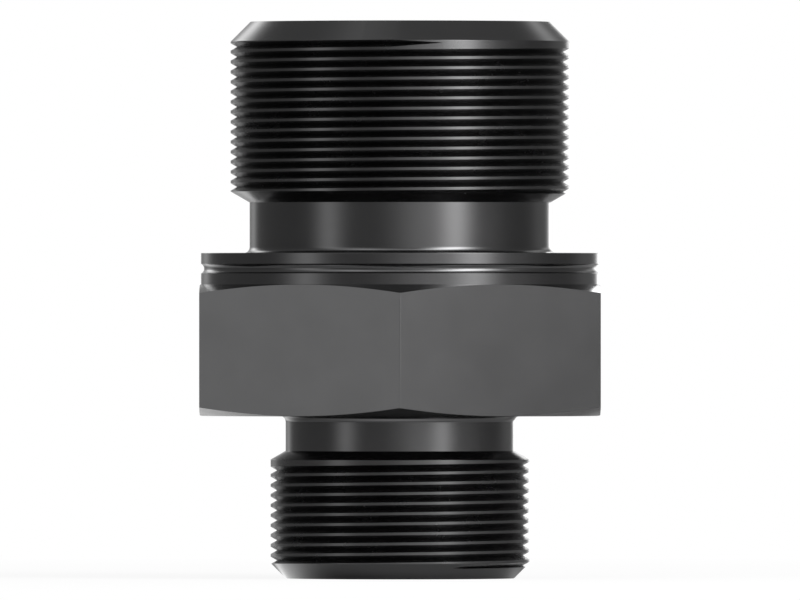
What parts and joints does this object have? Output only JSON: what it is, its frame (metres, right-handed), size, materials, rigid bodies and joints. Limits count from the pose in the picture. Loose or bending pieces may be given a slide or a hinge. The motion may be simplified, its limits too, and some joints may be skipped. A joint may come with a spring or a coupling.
{
  "type": "straight adapter fitting",
  "caption": "Straight hydraulic adapter: a hexagon with a grooved collar between a larger and a smaller male threaded end, necked behind each thread, with a passage right through.",
  "frame": {"origin": "centre of the smaller end's face, which the fitting stands on", "axes": "+Z along the axis from the smaller end to the larger end, +X normal to one flat of the hexagon"},
  "size_m": [0.08, 0.0924, 0.1113],
  "materials": {
    "black_oxide_steel": "satin black oxide on turned and milled steel"
  },
  "bodies": {
    "root": {"adapter_body": "black_oxide_steel"}
  },
  "joints": []
}
